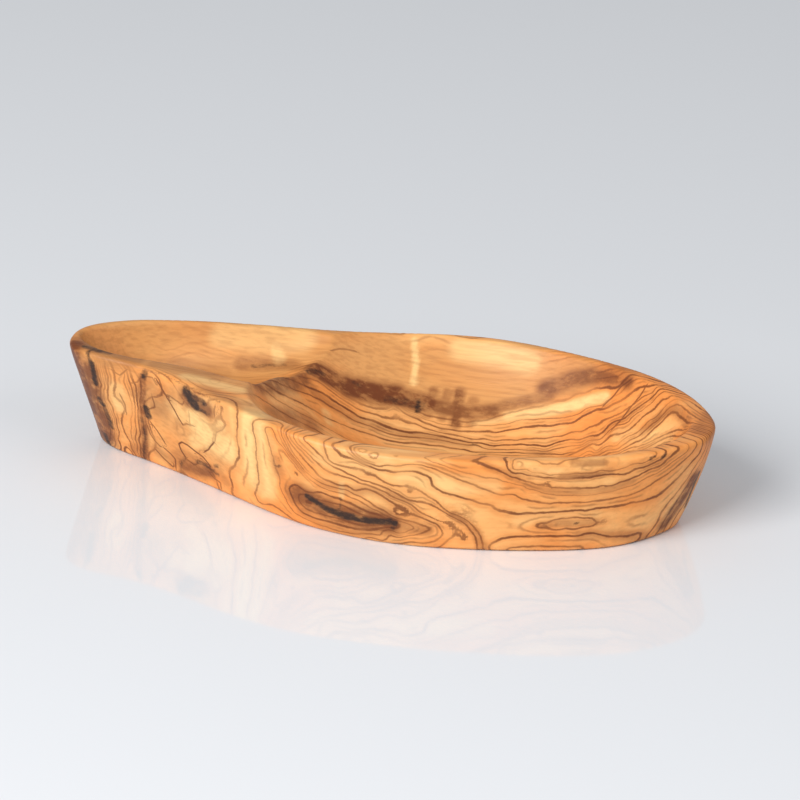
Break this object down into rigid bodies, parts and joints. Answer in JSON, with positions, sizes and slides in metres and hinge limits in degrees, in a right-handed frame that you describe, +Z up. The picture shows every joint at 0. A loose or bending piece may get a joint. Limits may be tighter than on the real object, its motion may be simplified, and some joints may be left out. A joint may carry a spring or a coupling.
{
  "type": "olive dish",
  "caption": "Pear-shaped serving dish carved from one block of olive wood, with a deep hollow for olives and a shallow one for stones.",
  "frame": {"origin": "under the middle of the dish, on the flat face that it rests on", "axes": "+X along the dish towards the big end, +Y across it, +Z up"},
  "size_m": [0.2404, 0.124, 0.0434],
  "materials": {
    "olive_wood": "olive wood with dark brown growth lines, sanded smooth and oiled to a satin sheen"
  },
  "bodies": {
    "root": {"dish_body": "olive_wood"}
  },
  "joints": []
}
